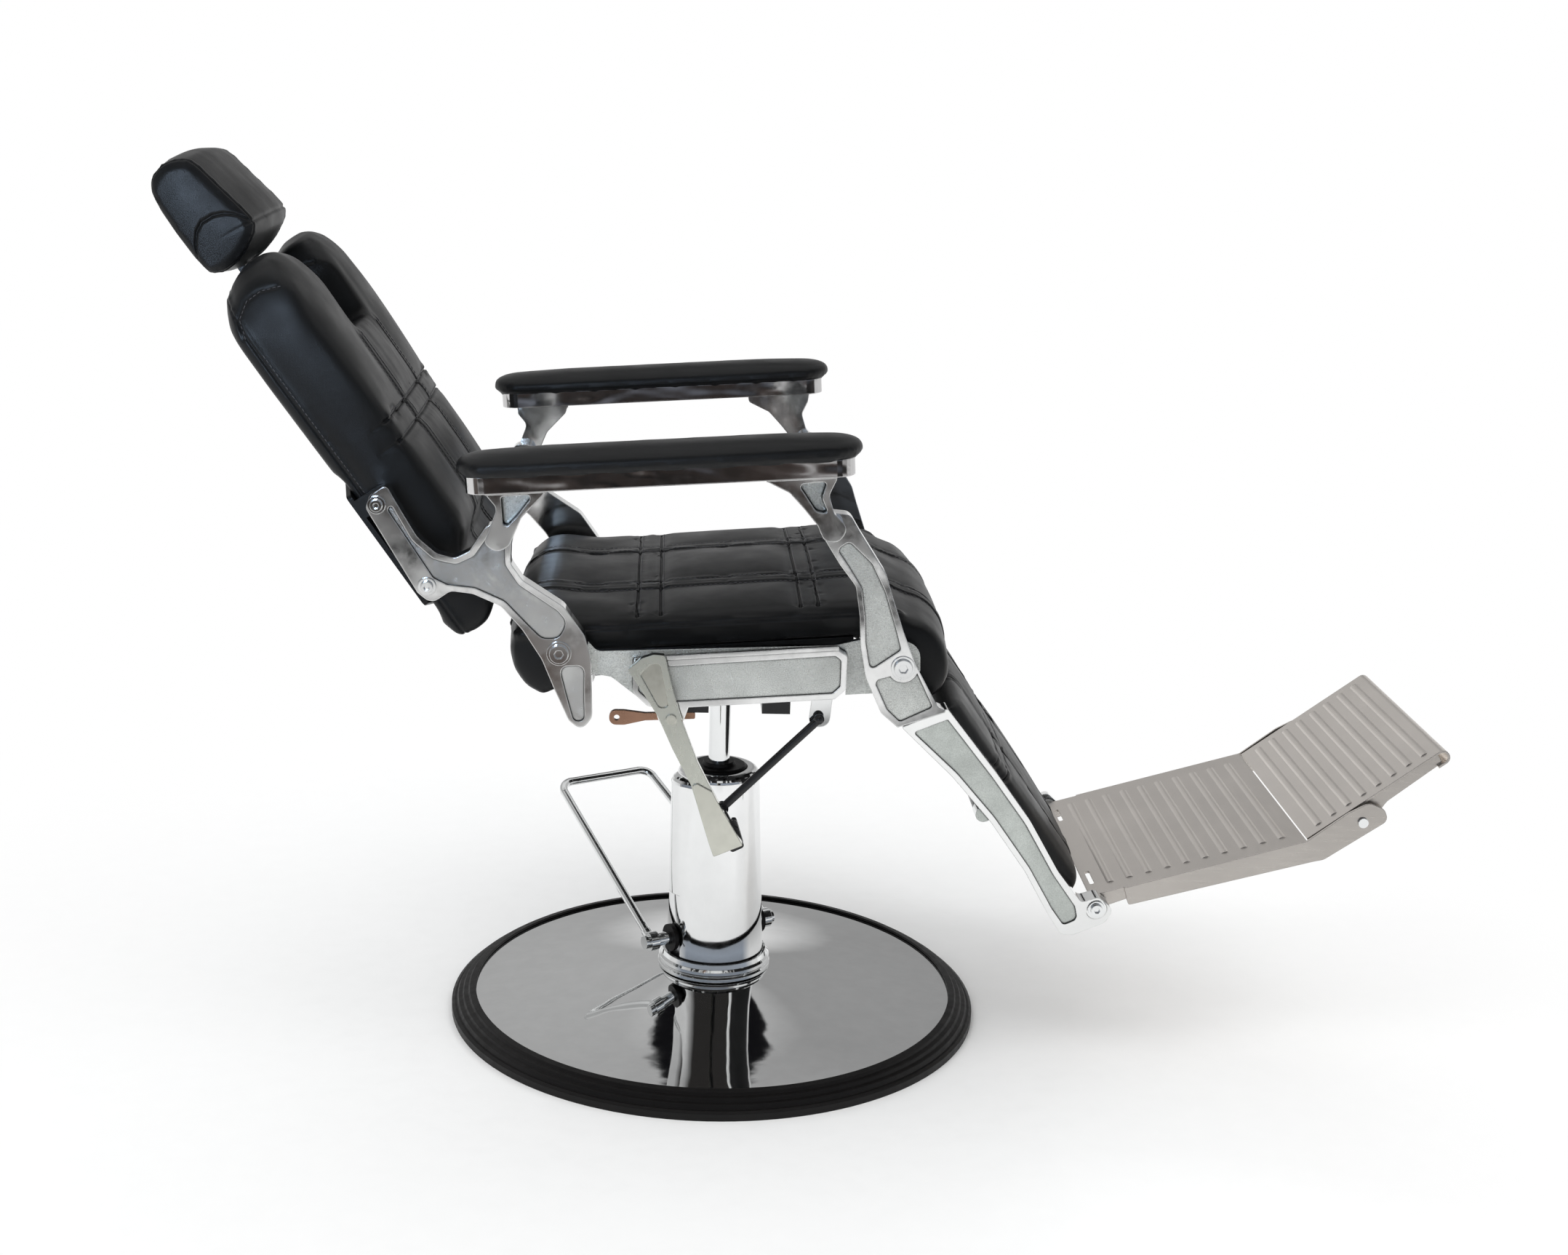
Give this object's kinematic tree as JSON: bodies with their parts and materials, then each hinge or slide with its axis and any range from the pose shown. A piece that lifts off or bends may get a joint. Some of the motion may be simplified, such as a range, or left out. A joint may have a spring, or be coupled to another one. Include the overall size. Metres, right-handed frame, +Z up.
{
  "type": "hydraulic barber chair",
  "caption": "Reclining hydraulic barber chair with a pump column, cast side linkage, padded seat, back, arms, headrest, leg rest and a folding footplate.",
  "frame": {"origin": "centre of the round base on the floor, under the pump column", "axes": "+X forward towards the footplate, +Y to the sitter's left, +Z up"},
  "size_m": [1.6057, 0.7, 1.1115],
  "materials": {
    "rubber": "black moulded rubber and black plastic seals",
    "chrome": "polished chrome plate",
    "steel": "plain machined steel, hidden inside",
    "black_steel": "black satin enamel",
    "satin": "cast aluminium, satin blasted recesses between polished rims",
    "board": "black-faced plywood board",
    "upholstery": "black grained imitation leather over foam, sewn channels",
    "brass": "copper-coloured plated link",
    "nickel": "warm brushed nickel sheet"
  },
  "bodies": {
    "base": {"base_ring": "rubber", "base_dome": "chrome", "ballast_plate": "steel", "foot_collar": "chrome", "pump_block": "steel", "pump_cylinder": "steel", "pump_shroud": "chrome", "ram_gland": "rubber", "shaft_bushes": "rubber", "pump_spring": "steel"},
    "pedal": {"pedal_shaft": "chrome", "pedal_loop": "chrome"},
    "plunger": {"pump_plunger": "chrome"},
    "lift": {"ram_piston": "steel"},
    "seat": {"ram": "chrome", "swivel_plate": "black_steel", "frame_bars": "black_steel", "rail_right": "satin", "rail_left": "satin", "seat_board": "board", "seat_cushion": "upholstery", "pivot_bolts": "chrome", "back_stop": "brass"},
    "back": {"back_casting_right": "satin", "back_casting_left": "satin", "casting_bolts": "chrome", "arm_pins": "chrome", "tail_rod": "chrome", "back_panel": "board", "back_cushion": "upholstery", "headrest_socket": "steel"},
    "arm_right": {"arm_bracket_rear_right": "satin", "arm_bracket_front_right": "satin", "arm_tray_right": "chrome", "arm_pad_right": "upholstery"},
    "arm_left": {"arm_bracket_rear_left": "satin", "arm_bracket_front_left": "satin", "arm_tray_left": "chrome", "arm_pad_left": "upholstery"},
    "leg": {"rocker_right": "satin", "rocker_left": "satin", "rocker_pins": "chrome", "leg_rail_right": "satin", "leg_rail_left": "satin", "leg_bar": "black_steel", "leg_board": "board", "leg_cushion": "upholstery", "foot_bolts": "chrome"},
    "foot": {"footplate": "nickel"},
    "flip": {"flip_plate": "nickel", "flip_pins": "chrome"},
    "head_slide": {"headrest_post": "black_steel"},
    "head": {"headrest_hinge": "chrome", "headrest_cushion": "upholstery"},
    "lever": {"recline_lever": "nickel", "release_arm": "black_steel"},
    "rod": {"lever_rod": "black_steel"},
    "crank": {"release_crank": "chrome"},
    "lock_tube": {"lock_cylinder": "black_steel"},
    "lock_bar": {"lock_rod": "chrome"}
  },
  "joints": [
    {"name": "pedal_press", "type": "hinge", "parent": "base", "child": "pedal", "pos_m": [0, 0, 0.105], "axis": [-0.8704, -0.4924, 0], "range_deg": [0, 18], "stiffness_Nm_per_rad": 12, "springref_deg": -6.88},
    {"name": "plunger_stroke", "type": "slide", "parent": "base", "child": "plunger", "axis": [0, 0, -1], "range_m": [0, 0.0096], "deforming": ["pump_spring"]},
    {"name": "seat_lift", "type": "slide", "parent": "base", "child": "lift", "axis": [0, 0, 1], "range_m": [-0.06, 0.09]},
    {"name": "seat_swivel", "type": "hinge", "parent": "lift", "child": "seat", "pos_m": [0, 0, 0], "axis": [0, 0, 1], "continuous": true},
    {"name": "back_recline", "type": "hinge", "parent": "seat", "child": "back", "pos_m": [-0.199, 0, 0.56], "axis": [0, -1, 0], "range_deg": [-22, 25]},
    {"name": "arm_right_swing", "type": "hinge", "parent": "back", "child": "arm_right", "pos_m": [-0.272, 0, 0.698], "axis": [0, -1, 0], "range_deg": [-26, 24]},
    {"name": "arm_left_swing", "type": "hinge", "parent": "back", "child": "arm_left", "pos_m": [-0.272, 0, 0.698], "axis": [0, -1, 0], "range_deg": [-26, 24]},
    {"name": "leg_raise", "type": "hinge", "parent": "seat", "child": "leg", "pos_m": [0.207, 0, 0.55], "axis": [0, -1, 0], "range_deg": [-19, 22]},
    {"name": "foot_fold", "type": "hinge", "parent": "leg", "child": "foot", "pos_m": [0.47338, 0, 0.22013], "axis": [0, -1, 0], "range_deg": [0, 72]},
    {"name": "flip_fold", "type": "hinge", "parent": "foot", "child": "flip", "pos_m": [0.81022, 0, 0.33205], "axis": [0, -1, 0], "range_deg": [0, 143]},
    {"name": "headrest_height", "type": "slide", "parent": "back", "child": "head_slide", "axis": [-0.5736, 0, 0.8192], "range_m": [0, 0.12]},
    {"name": "headrest_tilt", "type": "hinge", "parent": "head_slide", "child": "head", "pos_m": [-0.63653, 0, 1.01052], "axis": [0, -1, 0], "range_deg": [-20, 25]},
    {"name": "lever_pull", "type": "hinge", "parent": "seat", "child": "lever", "pos_m": [-0.066, 0, 0.485], "axis": [0, -1, 0], "range_deg": [0, 5], "stiffness_Nm_per_rad": 8, "springref_deg": -5.73},
    {"name": "rod_swing", "type": "hinge", "parent": "lever", "child": "rod", "pos_m": [-0.002, 0, 0.365], "axis": [0, -1, 0], "range_deg": [-8.5, 1]},
    {"name": "crank_turn", "type": "hinge", "parent": "seat", "child": "crank", "pos_m": [0.118, 0, 0.528], "axis": [0, -1, 0], "range_deg": [-1, 19]},
    {"name": "lock_swing", "type": "hinge", "parent": "seat", "child": "lock_tube", "pos_m": [0.118, 0, 0.528], "axis": [0, -1, 0], "range_deg": [-2, 2]},
    {"name": "lock_stroke", "type": "slide", "parent": "lock_tube", "child": "lock_bar", "axis": [-0.9906, 0, -0.1368], "range_m": [-0.036, 0.032]}
  ],
  "couplings": [
    {"joint": "plunger_stroke", "follows": "pedal_press", "m_per_rad": 0.03},
    {"joint": "arm_right_swing", "follows": "back_recline", "ratio": -0.9938},
    {"joint": "arm_left_swing", "follows": "back_recline", "ratio": -0.9938},
    {"joint": "leg_raise", "follows": "back_recline", "ratio": 0.8219},
    {"joint": "rod_swing", "follows": "lever_pull", "ratio": -1.574},
    {"joint": "crank_turn", "follows": "lever_pull", "ratio": 3.68},
    {"joint": "lock_swing", "follows": "back_recline", "ratio": -0.051033},
    {"joint": "lock_stroke", "follows": "back_recline", "m_per_rad": -0.075658}
  ]
}
